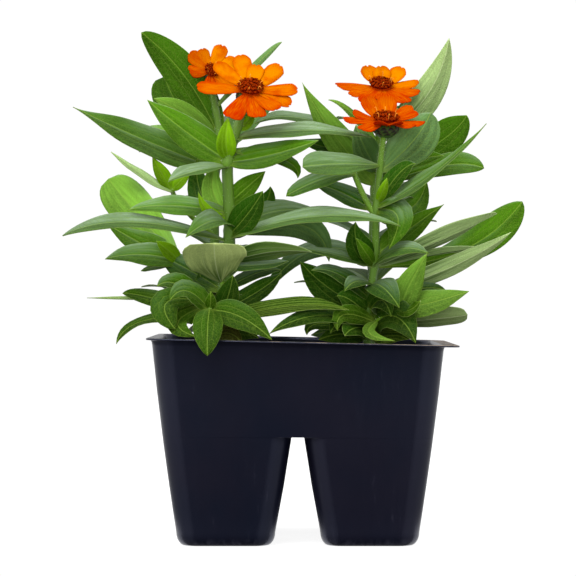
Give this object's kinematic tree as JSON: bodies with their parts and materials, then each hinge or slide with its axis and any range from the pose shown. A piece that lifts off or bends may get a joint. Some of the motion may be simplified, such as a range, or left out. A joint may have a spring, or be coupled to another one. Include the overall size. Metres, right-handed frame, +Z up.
{
  "type": "potted zinnia",
  "caption": "Bedding plants with orange daisy-like blooms and opposite lance-shaped leaves, standing in a thin tapered plastic nursery cell pack with a flat rim.",
  "frame": {"origin": "on the ground under the middle of the pot, which is also the middle of the box round the whole plant", "axes": "+Z up along the stems, +X to the right and -Y towards the front that the picture shows"},
  "size_m": [0.2056, 0.1474, 0.2273],
  "materials": {
    "pot_plastic": "dark navy thermoformed sheet with a soft sheen",
    "potting_mix": "crumbly greyish brown peat and bark",
    "leaf_green": "living leaf and stem, satin with fine short hairs",
    "petal_orange": "velvety warm orange ray petals",
    "floret_brown": "dark maroon brown tube florets"
  },
  "bodies": {
    "root": {"pot": "pot_plastic", "growing_medium": "potting_mix", "leafy_stem_left_front": "leaf_green", "leafy_stem_right_front": "leaf_green", "leafy_stem_left_back": "leaf_green", "leafy_stem_right_back": "leaf_green", "petals_left_front": "petal_orange", "petals_right_front": "petal_orange", "petals_left_back": "petal_orange", "petals_right_back": "petal_orange", "disc_left_front": "floret_brown", "disc_right_front": "floret_brown", "disc_left_back": "floret_brown", "disc_right_back": "floret_brown"}
  },
  "joints": []
}
